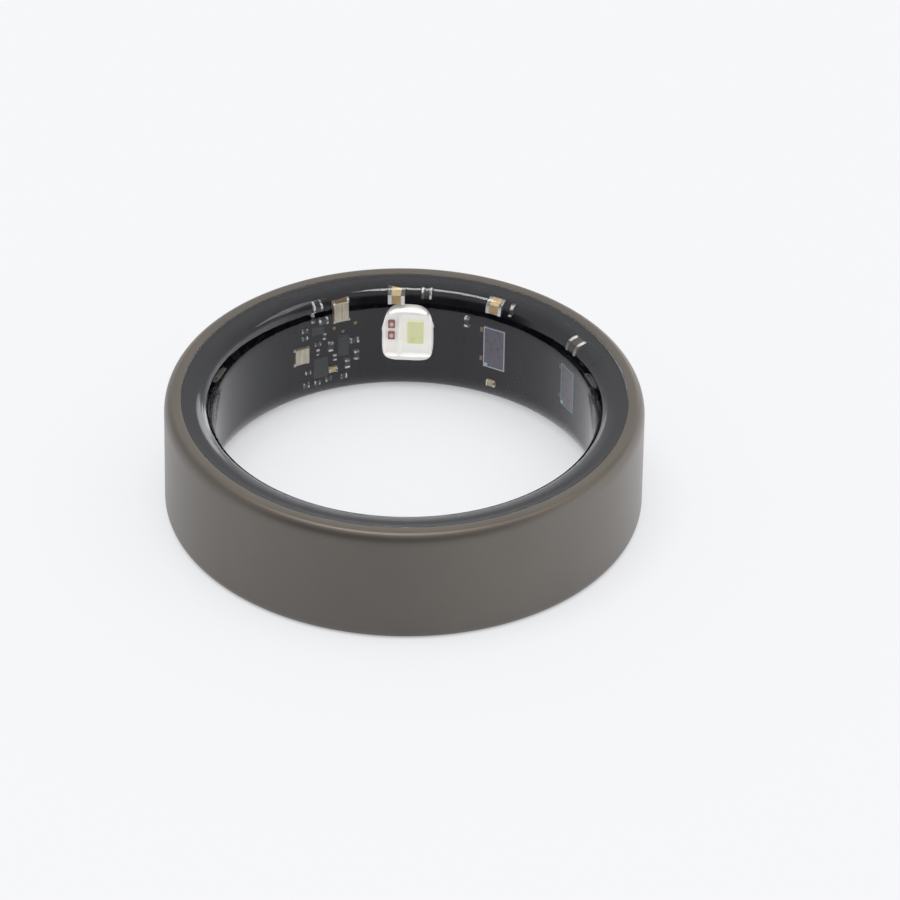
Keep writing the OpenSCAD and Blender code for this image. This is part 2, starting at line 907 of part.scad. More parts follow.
// The upright runs are thinner than the long ones by a hair, so that every face is a plain patch
module charging_coil() {
    step = turn_of(track_pitch, strip_front);
    wide = turn_of(track_w, strip_front);
    color([0.72, 0.45, 0.3])
        for (i = [0 : coil_turns - 1]) {
            half = coil_half_turn - i * step;
            before = i == 0 ? half : half + step;
            top = coil_h / 2 - i * track_pitch;
            left = coil_mid - half;
            right = coil_mid + half;
            track(coil_mid - before, right, top - track_w, top);
            track(right - wide, right, -top, top, bond_gap);
            track(left, right, -top, -top + track_w);
            if (i < coil_turns - 1)
                track(left, left + wide, -top, top - track_pitch, bond_gap);
        }
}

module antenna_trace() {
    color([0.72, 0.45, 0.3])
        arc_block(track_r, track_r + track_t, coil_mid - coil_half_turn, coil_mid + coil_half_turn,
            antenna_low, antenna_low + antenna_w);
}

module coil_cover_film() {
    color([0.04, 0.04, 0.045])
        arc_block(track_r - bond_gap - cover_t, track_r - bond_gap, coil_from, coil_to,
            -board_h / 2, board_h / 2);
}

outer_shell();
resin_liner();
insulating_film();
flex_strip();
processor_board();
emitter_board();
near_receiver_board();
far_receiver_board();
power_board();
section_backings();
radio_processor();
motion_sensor();
optical_front_end();
power_manager();
memory_chip();
protection_chip();
power_inductor();
radio_crystal_base();
radio_crystal_lid();
clock_crystal_base();
clock_crystal_lid();
emitter_package();
emitter_encapsulant();
red_emitter_die();
infrared_emitter_die();
green_emitter_die();
emitter_pads();
near_photodiode();
far_photodiode();
photodiode_guard_rings();
photodiode_bond_pads();
board_pads();
bulk_capacitors();
bulk_capacitor_caps();
small_part_bodies();
tan_capacitor_bodies();
small_part_terminals();
skin_thermistor();
battery_cell();
battery_wrap();
battery_tabs();
battery_adhesive();
ferrite_sheet();
charging_coil();
coil_cover_film();
antenna_trace();
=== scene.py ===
"""Smart ring on a pale table: satin metal band, clear cast liner and the circuit sealed inside it.

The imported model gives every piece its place. This script builds the band, the liner and the parts
of the circuit that show, at a finer grain, and gives every surface its finish.
Lengths are written in millimetres and turned into metres by MM. Angles are in degrees about Z,
counted from X, unless they are turned into radians where they are named.
"""

import math

import bmesh
import bpy
from mathutils import Matrix, Vector


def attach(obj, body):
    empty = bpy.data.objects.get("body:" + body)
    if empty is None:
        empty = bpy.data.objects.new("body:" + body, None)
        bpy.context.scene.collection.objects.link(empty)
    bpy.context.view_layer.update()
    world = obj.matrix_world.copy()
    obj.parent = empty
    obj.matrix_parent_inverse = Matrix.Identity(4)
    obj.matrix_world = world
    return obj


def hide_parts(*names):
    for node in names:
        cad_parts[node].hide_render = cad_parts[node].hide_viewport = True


MM = 0.001
BODY = "root"

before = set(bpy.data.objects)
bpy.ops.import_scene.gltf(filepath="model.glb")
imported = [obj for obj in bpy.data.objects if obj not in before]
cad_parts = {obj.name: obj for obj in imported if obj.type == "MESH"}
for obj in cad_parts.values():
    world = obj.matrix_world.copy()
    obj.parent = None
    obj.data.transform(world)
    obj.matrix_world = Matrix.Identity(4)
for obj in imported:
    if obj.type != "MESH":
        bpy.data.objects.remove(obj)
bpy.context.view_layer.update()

# Band. Each rim is part of an ellipse: how far it goes across, and how far up
BORE_R = 10.9
RING_R = 13.7
HALF_W = 3.5
TOP_RIM = (0.5, 0.85)
FOOT_RIM = (0.33, 0.5)
LIP_R = 12.75
LIP_H = 0.4
LIP_CORNER = 0.025
CHANNEL_R = 12.9
RIM_STEPS = 32
WALL_STEPS = 12
CORNER_STEPS = 5
BAND_STEPS = 480

# Liner
LINER_TOP = 3.45
LINER_GAP = 0.02
COMFORT_R = 2.0
COMFORT_TURN = math.radians(30)
EDGE_R = 0.8
EDGE_DROP = 0.045
CROWN_R = 3.5
CROWN_FROM, CROWN_TO = 78, 88
BACK_R = 12.84
RISE_TO_LIP = ((-0.06, 0.03), (0.03, 0.045))
BORE_HALF_STEPS = 20
COMFORT_STEPS = 14
EDGE_STEPS = 12
CROWN_STEPS = 8

# Window: a low dome and a soft step round it, as shares of the rise
WINDOW_R = 1.88
WINDOW_RISE = 0.155
WINDOW_AT = 88.8
DOME_SHARE = 0.85
DOME_POWER = 1.3
STEP_SHARE = 0.15
STEP_END = 1.02
STEP_W = 0.06
LIFTED_WALL = 0.2
FINE_REACH = 12
FINE_STEPS = 144
COARSE_STEPS = 336

# Lining
LINING_AT_BOARDS = 12.46
LINING_AT_COIL = 12.2
LINING_AT_BATTERY = 11.46
LINING_GAP = 0.015
LINING_T = 0.03
COLLAR_R = 11.5
COLLAR_H = 0.08
COLLAR_IN = 0.001
LINING_STEP_FROM = 124.8
LINING_STEP_TO = 131.0
BATTERY_END = 292.0
BATTERY_END_SLOPE = 3
COIL_START = -42.0
COIL_END = 18.0
COIL_SLOPE = 4
LINING_STEPS = 720

# Emitter package, in the frame of its board
EMITTER_AT = 86.0
BOARD_FACE_R = 12.2
PACKAGE_X = -0.675
PACKAGE_Y = 0.18
PACKAGE_W = 3.0
PACKAGE_L = 3.4
PACKAGE_H = 0.85
CAVITY_L = 2.76
CAVITY_H = 0.5
NARROW_X = -0.965
NARROW_W = 0.75
NARROW_SLOPE = 0.12
WIDE_X = 0.455
WIDE_W = 1.77
WIDE_SLOPE = 0.14
DIE_FOOT = 0.36
DIE_TOP = 0.5
HOUSING_TOP = 3.4
HOUSING_FOOT = 5.0
HOUSING_EDGE_H = 0.08
HOUSING_EDGE_FROM, HOUSING_EDGE_W = 0.93, 0.07
HOUSING_STEPS, HOUSING_RINGS = 192, 56

# Bond wires, from the green die to the cavity floor
WIRE_RUNS = (((0.32, -0.2), (0.02, -0.62)), ((0.44, -0.3), (0.2, -0.66)))
WIRE_ARCH = 0.16
WIRE_R = 0.014
WIRE_STEPS = 12
WIRE_SIDES = 8

# Crystals, in the frame of the processor board
PROCESSOR_AT = 114.0
CRYSTALS = ((1.0965, 1.8), (-1.632, -0.51))
CRYSTAL_W = 1.05
CRYSTAL_L = 1.12
CORNER_W = 0.17
CORNER_H = 0.24
CORNER_IN = 0.06
CORNER_ROUND = 0.03
CORNER_ROUND_STEPS = 3

# Floor, in metres
FLOOR_HALF = 3
FLOOR_DROP = 0.00002
FLOOR_SHADE_REACH = 0.02
FLOOR_SHADE_SAMPLES = 16
FLOOR_GLOW_SHARE = 0.83

# Light. A window is its turn to the right of the back, its height and its strength
WORLD_LIGHT = 0.45
BACK_GLOW = 0.8
FRONT_DARK = 0.88
RIGHT_GLOW = 1.2
WINDOWS = ((24, 8, 3.0), (20, 18.5, 3.0), (12.5, 27, 3.0), (-20, 16, 1.2))
WINDOW_EDGE = (0.9935, 0.9985)

# Camera: a long lens, with its focal length and the point it centres on in pixels of the frame.
# The clip range is in metres
FRAME_PX = 900
FOCAL_PX = 7069.0
SEEN_AT = (404.05, 447.45)
SENSOR_W = 36
CAMERA_DISTANCE = 404.6
CAMERA_ELEVATION = 0.6097
CAMERA_ROLL = 0.012
CLIP = (0.01, 20)

# Sockets of a mix node that share a name with others, by what the node mixes
COLOUR_A, COLOUR_B, COLOUR_OUT = 6, 7, 2
NUMBER_A, NUMBER_B = 2, 3


# Meshes
def new_object(name, bm, smooth=True):
    mesh = bpy.data.meshes.new(name)
    bm.to_mesh(mesh)
    bm.free()
    if smooth:
        for p in mesh.polygons:
            p.use_smooth = True
    obj = bpy.data.objects.new(name, mesh)
    bpy.context.scene.collection.objects.link(obj)
    return obj


def outward_object(name, bm, smooth=True):
    """An object whose faces all look outwards."""
    bmesh.ops.recalc_face_normals(bm, faces=bm.faces)
    return new_object(name, bm, smooth)


def arc_points(cx, cy, r, start, end, count):
    """Points of an arc between two angles in degrees."""
    angles = [math.radians(start + (end - start) * i / count) for i in range(count + 1)]
    return [(cx + r * math.cos(a), cy + r * math.sin(a)) for a in angles]


def mirrored(points):
    """A run of (radius, height) below mid height, in the order that continues the run above it."""
    return [(r, -z) for r, z in reversed(points)]


def turned(bm, outline, a):
    """The corners of an outline of (radius, height), at an angle in radians."""
    return [bm.verts.new((r * math.cos(a) * MM, r * math.sin(a) * MM, (z + HALF_W) * MM))
            for r, z in outline]


def skin(bm, rings, closed=True):
    """Faces from each ring of corners to the next, and from the last to the first when closed."""
    n = len(rings[0])
    following = rings[1:] + rings[:1] if closed else rings[1:]
    for here, there in zip(rings, following):
        for j in range(n):
            k = (j + 1) % n
            bm.faces.new((here[j], there[j], there[k], here[k]))


# Band: a straight outer face, elliptical rims and a lip over each edge of the liner
def band_profile():
    corner = LIP_CORNER
    rims = []
    for across, up in (TOP_RIM, FOOT_RIM):
        turns = [math.pi / 2 * i / RIM_STEPS for i in range(RIM_STEPS + 1)]
        rims.append([(RING_R - across * (1 - math.cos(t)), HALF_W - up * (1 - math.sin(t)))
                     for t in turns])
    top, foot = rims[0], mirrored(rims[1])
    low, high = foot[-1][1], top[0][1]
    points = [(RING_R, low + (high - low) * i / WALL_STEPS) for i in range(1, WALL_STEPS)] + top
    points += arc_points(LIP_R + corner, HALF_W - corner, corner, 90, 180, CORNER_STEPS)
    under = HALF_W - LIP_H
    channel = [(LIP_R, under + corner), (LIP_R + corner, under)]
    channel += [(CHANNEL_R - corner, under), (CHANNEL_R, under - corner)]
    points += channel + mirrored(channel)
    points += arc_points(LIP_R + corner, -HALF_W + corner, corner, 180, 270, CORNER_STEPS)
    return points + foot


def band_mesh():
    bm = bmesh.new()
    profile = band_profile()
    skin(bm, [turned(bm, profile, 2 * math.pi * i / BAND_STEPS) for i in range(BAND_STEPS)])
    return outward_object("band", bm)


# Liner: a long comfort curve into the bore, a short one at the rim, a low crown and a window with
# a soft edge
def liner_profile():
    edge_z = LINER_TOP - EDGE_R - EDGE_DROP
    curve_join = edge_z + EDGE_R * math.sin(COMFORT_TURN)
    bore_half = curve_join - COMFORT_R * math.sin(COMFORT_TURN)
    edge_x = BORE_R + COMFORT_R * (1 - math.cos(COMFORT_TURN)) + EDGE_R * math.cos(COMFORT_TURN)
    comfort_end = 180 - math.degrees(COMFORT_TURN)
    crown_start, crown_end = 180 - CROWN_FROM, 180 - CROWN_TO
    from_edge = math.radians(CROWN_FROM)
    crown_x = edge_x + (CROWN_R - EDGE_R) * math.cos(from_edge)
    crown_z = edge_z - (CROWN_R - EDGE_R) * math.sin(from_edge)
    comfort_x = BORE_R + COMFORT_R
    upper = arc_points(comfort_x, bore_half, COMFORT_R, 180, comfort_end, COMFORT_STEPS)[1:]
    upper += arc_points(edge_x, edge_z, EDGE_R, comfort_end, crown_start, EDGE_STEPS)[1:]
    upper += arc_points(crown_x, crown_z, CROWN_R, crown_start, crown_end, CROWN_STEPS)[1:]
    upper += [(LIP_R + across, LINER_TOP + up) for across, up in RISE_TO_LIP]
    flat = [(BORE_R, bore_half * (i / BORE_HALF_STEPS - 1)) for i in range(2 * BORE_HALF_STEPS + 1)]
    under = HALF_W - LIP_H - LINER_GAP
    back = [(LIP_R - LINER_GAP, under), (BACK_R, under)]
    return mirrored(upper) + flat + upper + back + mirrored(back)


def soft_step(x):
    x = min(max(x, 0), 1)
    return x * x * (3 - 2 * x)


def window_lift(z, a):
    """How far the low dome of the window raises the liner's inner face at a height and angle."""
    across = (a - math.radians(WINDOW_AT) + math.pi) % (2 * math.pi) - math.pi
    away = math.hypot(across * BORE_R, z) / WINDOW_R
    dome = (1 - away * away) ** DOME_POWER if away < 1 else 0
    return WINDOW_RISE * (DOME_SHARE * dome + STEP_SHARE * soft_step((STEP_END - away) / STEP_W))


def liner_mesh():
    profile = liner_profile()
    fine_from, fine_to = WINDOW_AT - FINE_REACH, WINDOW_AT + FINE_REACH
    angles = [fine_from + (fine_to - fine_from) * i / FINE_STEPS for i in range(FINE_STEPS)]
    rest = 360 - fine_to + fine_from
    angles += [fine_to + rest * i / COARSE_STEPS for i in range(COARSE_STEPS)]
    bm = bmesh.new()
    rings = []
    for a in map(math.radians, angles):
        raised = [(r - window_lift(z, a) if r < BORE_R + LIFTED_WALL else r, z) for r, z in profile]
        rings.append(turned(bm, raised, a))
    skin(bm, rings)
    return outward_object("clear_liner", bm)


# Black lining behind the liner: it closes the bends between the boards, the step up to the
# battery and the edges of the strip, and leaves the boards' own faces open. A collar stands in
# from its rims where there are no boards in view, so that the table doesn't show through the
# liner's shoulder
def lining_radius(degrees):
    to_battery = soft_step((degrees - LINING_STEP_FROM) / (LINING_STEP_TO - LINING_STEP_FROM))
    off_battery = soft_step((BATTERY_END - degrees) / BATTERY_END_SLOPE)
    past_coil = soft_step((degrees - COIL_END) / COIL_SLOPE)
    before_coil = soft_step((360 + COIL_START - degrees) / COIL_SLOPE)
    r = LINING_AT_COIL + (LINING_AT_BOARDS - LINING_AT_COIL) * (past_coil * before_coil)
    return r + (LINING_AT_BATTERY - r) * to_battery * off_battery


def collar_radius(degrees):
    past_coil = soft_step((degrees - COIL_END) / COIL_SLOPE)
    before_battery = soft_step((LINING_STEP_TO - degrees) / COIL_SLOPE)
    return COLLAR_R + (LINING_AT_BOARDS - COLLAR_R) * (past_coil * before_battery)


def lining_mesh():
    half, t = HALF_W - LIP_H - LINING_GAP, LINING_T
    shelf = half - COLLAR_H
    bm = bmesh.new()
    rings = []
    for i in range(LINING_STEPS):
        degrees = 360 * i / LINING_STEPS
        r = lining_radius(degrees)
        collar = min(r, collar_radius(degrees)) - COLLAR_IN
        outline = [(collar, -half), (collar, -shelf), (r, -shelf), (r, 0), (r, shelf)]
        outline += [(collar, shelf), (collar, half), (BACK_R, half), (BACK_R, half - t)]
        outline += [(r + t, half - t), (r + t, t - half), (BACK_R, t - half), (BACK_R, -half)]
        rings.append(turned(bm, outline, math.radians(degrees)))
    skin(bm, rings)
    return outward_object("black_lining", bm, smooth=False)


# Circuit boards: their frame is right, up, and out of the board towards the axis
def on_board(board_at, x, y, depth):
    a = math.radians(board_at)
    r = BOARD_FACE_R - depth
    c, s = math.cos(a), math.sin(a)
    return Vector((r * c + x * s, r * s - x * c, y + HALF_W))


# Emitter housing: a crowned outline, soft edges and two dished cavities with a divider
def on_package(x, y, depth):
    """A point of the emitter package's own frame, in metres."""
    return on_board(EMITTER_AT, x + PACKAGE_X, y + PACKAGE_Y, depth) * MM


def crowned_outline(t):
    c, s = math.cos(t), math.sin(t)
    power = 2 / (HOUSING_TOP if s > 0 else HOUSING_FOOT)
    return (math.copysign(abs(c) ** power, c) * PACKAGE_W / 2,
            math.copysign(abs(s) ** power, s) * PACKAGE_L / 2)


def dish(x, y, x0, width, slope):
    """1 inside a cavity, 0 outside it, with a sloping wall."""
    in_width = soft_step((width / 2 - abs(x - x0)) / slope + 0.5)
    return in_width * soft_step((CAVITY_L / 2 - abs(y)) / slope + 0.5)


def housing_height(x, y, share):
    """Height of the housing's face at a point and at its share of the way out to the edge."""
    edge = soft_step((share - HOUSING_EDGE_FROM) / HOUSING_EDGE_W)
    narrow = dish(x, y, NARROW_X, NARROW_W, NARROW_SLOPE)
    wide = dish(x, y, WIDE_X, WIDE_W, WIDE_SLOPE)
    return PACKAGE_H - HOUSING_EDGE_H * edge ** 2 - CAVITY_H * max(narrow, wide)


def housing_mesh():
    bm = bmesh.new()
    outline = [crowned_outline(2 * math.pi * i / HOUSING_STEPS) for i in range(HOUSING_STEPS)]
    centre = bm.verts.new(on_package(0, 0, PACKAGE_H - CAVITY_H))
    rings = []
    for k in range(1, HOUSING_RINGS + 1):
        share = k / HOUSING_RINGS
        points = [(x * share, y * share) for x, y in outline]
        face = [on_package(x, y, housing_height(x, y, share)) for x, y in points]
        rings.append([bm.verts.new(point) for point in face])
    rings.append([bm.verts.new(on_package(x, y, 0.0)) for x, y in outline])
    for i in range(HOUSING_STEPS):
        bm.faces.new((centre, rings[0][i], rings[0][(i + 1) % HOUSING_STEPS]))
    skin(bm, rings, closed=False)
    bm.faces.new(rings[-1])
    return outward_object("emitter_housing", bm)


def wire_mesh(name, runs):
    """Fine bond wires: each run is a list of points that a round section follows."""
    bm = bmesh.new()
    for points in runs:
        rings = []
        for i, point in enumerate(points):
            ahead = points[min(i + 1, len(points) - 1)] - points[max(i - 1, 0)]
            turn = ahead.to_track_quat("Z", "Y")
            around = [2 * math.pi * j / WIRE_SIDES for j in range(WIRE_SIDES)]
            section = [turn @ Vector((math.cos(a), math.sin(a), 0)) * WIRE_R * MM for a in around]
            rings.append([bm.verts.new(point + off) for off in section])
        skin(bm, rings, closed=False)
        bm.faces.new(rings[0])
        bm.faces.new(rings[-1])
    return outward_object(name, bm)


def bond_wires():
    """Two arched wires from the green die's corner to the cavity floor."""
    runs = []
    for start, end in WIRE_RUNS:
        points = []
        for i in range(WIRE_STEPS + 1):
            s = i / WIRE_STEPS
            x = start[0] + (end[0] - start[0]) * s
            y = start[1] + (end[1] - start[1]) * s
            depth = DIE_TOP + (DIE_FOOT - DIE_TOP) * s + WIRE_ARCH * math.sin(math.pi * s)
            points.append(on_package(x, y, depth))
        runs.append(points)
    return wire_mesh("bond_wires", runs)


# Silver corners where each crystal is soldered to its board
def crystal_corners():
    bm = bmesh.new()
    size = Matrix.Diagonal((CORNER_W, CORNER_H, CORNER_W, 1))
    turn = Matrix.Rotation(math.radians(PROCESSOR_AT) - math.pi / 2, 4, "Z")
    for cx, cy in CRYSTALS:
        for sx in (-1, 1):
            for sy in (-1, 1):
                x = cx + sx * (CRYSTAL_W / 2 - CORNER_IN)
                y = cy + sy * (CRYSTAL_L / 2 - CORNER_IN)
                place = Matrix.Translation(on_board(PROCESSOR_AT, x, y, CORNER_H / 2))
                bmesh.ops.create_cube(bm, size=1, matrix=Matrix.Scale(MM, 4) @ place @ turn @ size)
    bmesh.ops.bevel(bm, geom=bm.edges, offset=CORNER_ROUND * MM, segments=CORNER_ROUND_STEPS,
                    affect="EDGES")
    return new_object("crystal_corners", bm)


# Materials
class Nodes:
    """A node tree that is filled with short calls. A value is a number, a colour or a socket."""

    def __init__(self, tree):
        self.tree = tree

    def add(self, kind, **values):
        node = self.tree.nodes.new(kind)
        for key, value in values.items():
            if hasattr(node, key):
                setattr(node, key, value)
            else:
                node.inputs[key.replace("_", " ")].default_value = value
        return node

    def link(self, a, b):
        self.tree.links.new(a, b)

    def fill(self, sockets, values):
        for socket, value in zip(sockets, values):
            if isinstance(value, bpy.types.NodeSocket):
                self.link(value, socket)
            else:
                socket.default_value = value

    def calculate(self, operation, *values):
        node = self.add("ShaderNodeMath", operation=operation)
        self.fill(node.inputs, values)
        return node.outputs[0]

    def vector(self, operation, *values):
        node = self.add("ShaderNodeVectorMath", operation=operation)
        self.fill(node.inputs, values)
        return node.outputs["Value" if operation in ("LENGTH", "DOT_PRODUCT") else "Vector"]

    def mix(self, factor, a, b, **settings):
        node = self.add("ShaderNodeMix", data_type="RGBA", **settings)
        sockets = (node.inputs["Factor"], node.inputs[COLOUR_A], node.inputs[COLOUR_B])
        self.fill(sockets, (factor, a, b))
        return node.outputs[COLOUR_OUT]

    def axis(self, coordinate, letter):
        """One axis of a texture coordinate."""
        split = self.add("ShaderNodeSeparateXYZ")
        self.link(self.add("ShaderNodeTexCoord").outputs[coordinate], split.inputs[0])
        return split.outputs[letter]

    def place(self, scale=(1, 1, 1)):
        """Object coordinates, in metres, times a scale."""
        mapping = self.add("ShaderNodeMapping", Scale=scale)
        self.link(self.add("ShaderNodeTexCoord").outputs["Object"], mapping.inputs["Vector"])
        return mapping.outputs["Vector"]

    def noise(self, scale, detail=3, place=None):
        node = self.add("ShaderNodeTexNoise", Scale=scale, Detail=detail, Roughness=0.5)
        self.link(place or self.place(), node.inputs["Vector"])
        return node.outputs["Fac"]

    def ramp(self, value, stops):
        """A colour ramp, or a value ramp where the stops hold single numbers."""
        node = self.add("ShaderNodeValToRGB")
        while len(node.color_ramp.elements) < len(stops):
            node.color_ramp.elements.new(0.5)
        for element, (at, colour) in zip(node.color_ramp.elements, stops):
            element.position = at
            rgb = colour if isinstance(colour, tuple) else (colour, colour, colour)
            element.color = (*rgb, 1)
        self.link(value, node.inputs["Fac"])
        return node.outputs["Color"]

    def spread(self, noise, low, high, middle=0.5, reach=0.2):
        """From one value to another over the middle part of a noise."""
        return self.ramp(noise, [(middle - reach, low), (middle + reach, high)])


class Finish(Nodes):
    """A material and the nodes that feed its shader."""

    def __init__(self, name):
        self.material = bpy.data.materials.new(name)
        self.material.use_nodes = True
        super().__init__(self.material.node_tree)
        self.shader = self.tree.nodes["Principled BSDF"]

    def to(self, socket, output):
        self.link(output, self.shader.inputs[socket])

    def base_colour(self):
        return self.shader.inputs["Base Color"].links[0].from_socket

    def set(self, **values):
        for key, value in values.items():
            if isinstance(value, tuple) and len(value) == 3:
                value = (*value, 1)
            self.shader.inputs[key.replace("_", " ")].default_value = value
        return self

    def bump(self, height, strength, distance):
        node = self.add("ShaderNodeBump", Strength=strength, Distance=distance)
        self.link(height, node.inputs["Height"])
        self.link(node.outputs["Normal"], self.shader.inputs["Normal"])


def mottled(name, low, high, scale, roughness=(0.4, 0.5), metallic=0.0, gloss=0.5):
    """A surface whose colour and roughness vary between two values at a scale in marks a metre."""
    m = Finish(name)
    noise = m.noise(scale)
    m.to("Base Color", m.spread(noise, low, high))
    m.to("Roughness", m.spread(noise, *roughness))
    return m.set(Metallic=metallic, Specular_IOR_Level=gloss)


def housing_material():
    """White moulding with painted shade: it greys in its corners and hollows, by ambient occlusion.
    """
    m = mottled("white_housing", (0.93, 0.925, 0.91), (0.97, 0.968, 0.96), 3000, (0.5, 0.6))
    # Painted shade: ambient occlusion gives corners and hollows a grey and open faces white,
    # multiplied into the colour
    near = m.add("ShaderNodeAmbientOcclusion", Distance=0.7 * MM)
    corner, open_face, full = (0.72, 0.69, 0.67), (0.97, 0.965, 0.96), (1.0, 1.0, 1.0)
    shade = m.ramp(near.outputs["AO"], [(0.35, corner), (0.75, open_face), (1.0, full)])
    m.to("Base Color", m.mix(1.0, m.base_colour(), shade, blend_type="MULTIPLY"))
    return m


def red_die_material():
    """Dark red round the edge and paler in the middle of each face."""
    m = Finish("red_die")
    generated = m.add("ShaderNodeTexCoord").outputs["Generated"]
    centred = m.vector("SUBTRACT", generated, (0.5, 0.5, 0.5))
    size = m.vector("LENGTH", m.vector("MULTIPLY", centred, (2.0, 0.0, 2.0)))
    m.to("Base Color", m.ramp(size, [(0.3, (0.85, 0.72, 0.66)), (0.8, (0.34, 0.1, 0.08))]))
    m.to("Roughness", m.spread(m.noise(9000), 0.3, 0.4))
    return m


def glint_speckled(name, low, high, scale, metallic):
    """Painted glints: bright marks on a darker ground, standing in for the light that solder
    catches in places.
    """
    m = Finish(name)
    # Painted highlight: the bright colour at the noise's peaks
    m.to("Base Color", m.spread(m.noise(scale, 2), low, high, reach=0.06))
    m.to("Roughness", m.spread(m.noise(scale * 2), 0.3, 0.5))
    return m.set(Metallic=metallic)


def brushed(name, low, high):
    """A thin plated lid with fine upright marks."""
    m = Finish(name)
    marks = m.noise(1.0, 2, m.place((9000, 9000, 900)))
    m.to("Base Color", m.spread(marks, low, high, reach=0.15))
    m.to("Roughness", m.spread(marks, 0.35, 0.5))
    m.bump(marks, 0.2, 0.004 * MM)
    return m.set(Metallic=0.5)


def shaded_towards_far(name, near, far, **values):
    """A finish that changes along X between the near receiver and the far one, which is painted
    darker as shade.
    """
    m = mottled(name, *near, **values)
    share = m.add("ShaderNodeMapRange", From_Min=7.5 * MM, From_Max=8.2 * MM)
    m.link(m.axis("Object", "X"), share.inputs["Value"])
    # Painted shade: the far colour takes over towards the far receiver
    m.to("Base Color", m.mix(share.outputs[0], m.base_colour(), (*far, 1)))
    return m


def band_material():
    """Satin coated metal with a fine blasted grain. Its upward faces, the rims, are painted darker
    and browner than the wall: painted shade that tones down the light the rims catch.
    """
    m = Finish("band_metal")
    broad_part = m.calculate("MULTIPLY", m.noise(180, 2), 0.65)
    grain = m.calculate("MULTIPLY_ADD", m.noise(9000, 2), 0.35, broad_part)
    wall = m.spread(grain, (0.124, 0.112, 0.1), (0.152, 0.139, 0.125))
    rim = m.spread(grain, (0.094, 0.08, 0.065), (0.115, 0.099, 0.082))
    # Painted shade: faces that look up take the darker, browner rim colour
    upward_shade_mask = m.ramp(m.axis("Normal", "Z"), [(0.25, 0.0), (0.75, 1.0)])
    m.to("Base Color", m.mix(upward_shade_mask, wall, rim))
    m.to("Roughness", m.spread(grain, 0.46, 0.54))
    m.set(Metallic=1.0, Coat_Weight=0.3, Coat_Roughness=0.32)
    m.bump(m.noise(24000, 2), 0.25, 0.004 * MM)
    return m.material


def glass_material(name, tint, ior):
    """Clear resin, left out for shadow and diffuse rays, so that what is cast in it is lit."""
    m = Finish(name)
    m.set(Base_Color=tint, Transmission_Weight=1.0, IOR=ior, Roughness=0.0)
    path = m.add("ShaderNodeLightPath")
    passing = m.calculate("MAXIMUM", path.outputs["Is Shadow Ray"], path.outputs["Is Diffuse Ray"])
    m.to("Alpha", m.calculate("SUBTRACT", 1.0, passing))
    return m.material


# Scene around the ring
def seen_ray(nodes):
    """1 for a ray that shows the background: direct, in a reflection or through glass."""
    path = nodes.add("ShaderNodeLightPath")
    first = nodes.calculate("MAXIMUM", path.outputs["Is Camera Ray"], path.outputs["Is Glossy Ray"])
    return nodes.calculate("MAXIMUM", first, path.outputs["Is Transmission Ray"])


def add_floor():
    """A white table with a painted shadow under the ring and painted light towards its left and
    right, seen only in reflections.
    """
    bm = bmesh.new()
    bmesh.ops.create_grid(bm, x_segments=2, y_segments=2, size=FLOOR_HALF)
    floor = new_object("floor", bm, smooth=False)
    floor.location = (0, 0, -FLOOR_DROP)
    m = Finish("floor_white")
    m.set(Base_Color=(0.86, 0.865, 0.88), Roughness=0.9, Specular_IOR_Level=0.1)
    # Painted shadow: ambient occlusion near the ring dims the table's glow
    near = m.add("ShaderNodeAmbientOcclusion", Distance=FLOOR_SHADE_REACH,
                 samples=FLOOR_SHADE_SAMPLES)
    shade = m.ramp(near.outputs["AO"],
                   [(0.0, 0.35), (0.3, 0.66), (0.5, 0.89), (0.72, 0.98), (1.0, 1.0)])
    # Painted light: brighter towards left and right, in reflections only
    across = m.add("ShaderNodeMapRange", From_Min=-22 * MM, From_Max=22 * MM)
    m.link(m.axis("Object", "X"), across.inputs["Value"])
    painted_side_light = m.ramp(across.outputs[0], [(0.0, 1.24), (0.5, 1.02), (1.0, 1.5)])
    in_reflection = m.add("ShaderNodeLightPath").outputs["Is Glossy Ray"]
    brighter = m.mix(1.0, shade, painted_side_light, blend_type="MULTIPLY")
    glow = m.add("ShaderNodeEmission", Color=(0.938, 0.942, 0.96, 1))
    m.link(m.mix(in_reflection, shade, brighter), glow.inputs["Strength"])
    both = m.add("ShaderNodeMixShader")
    weight = m.calculate("MULTIPLY", seen_ray(m), FLOOR_GLOW_SHARE)
    m.fill(both.inputs, (weight, m.shader.outputs[0], glow.outputs[0]))
    m.link(both.outputs[0], m.tree.nodes["Material Output"].inputs["Surface"])
    floor.data.materials.append(m.material)


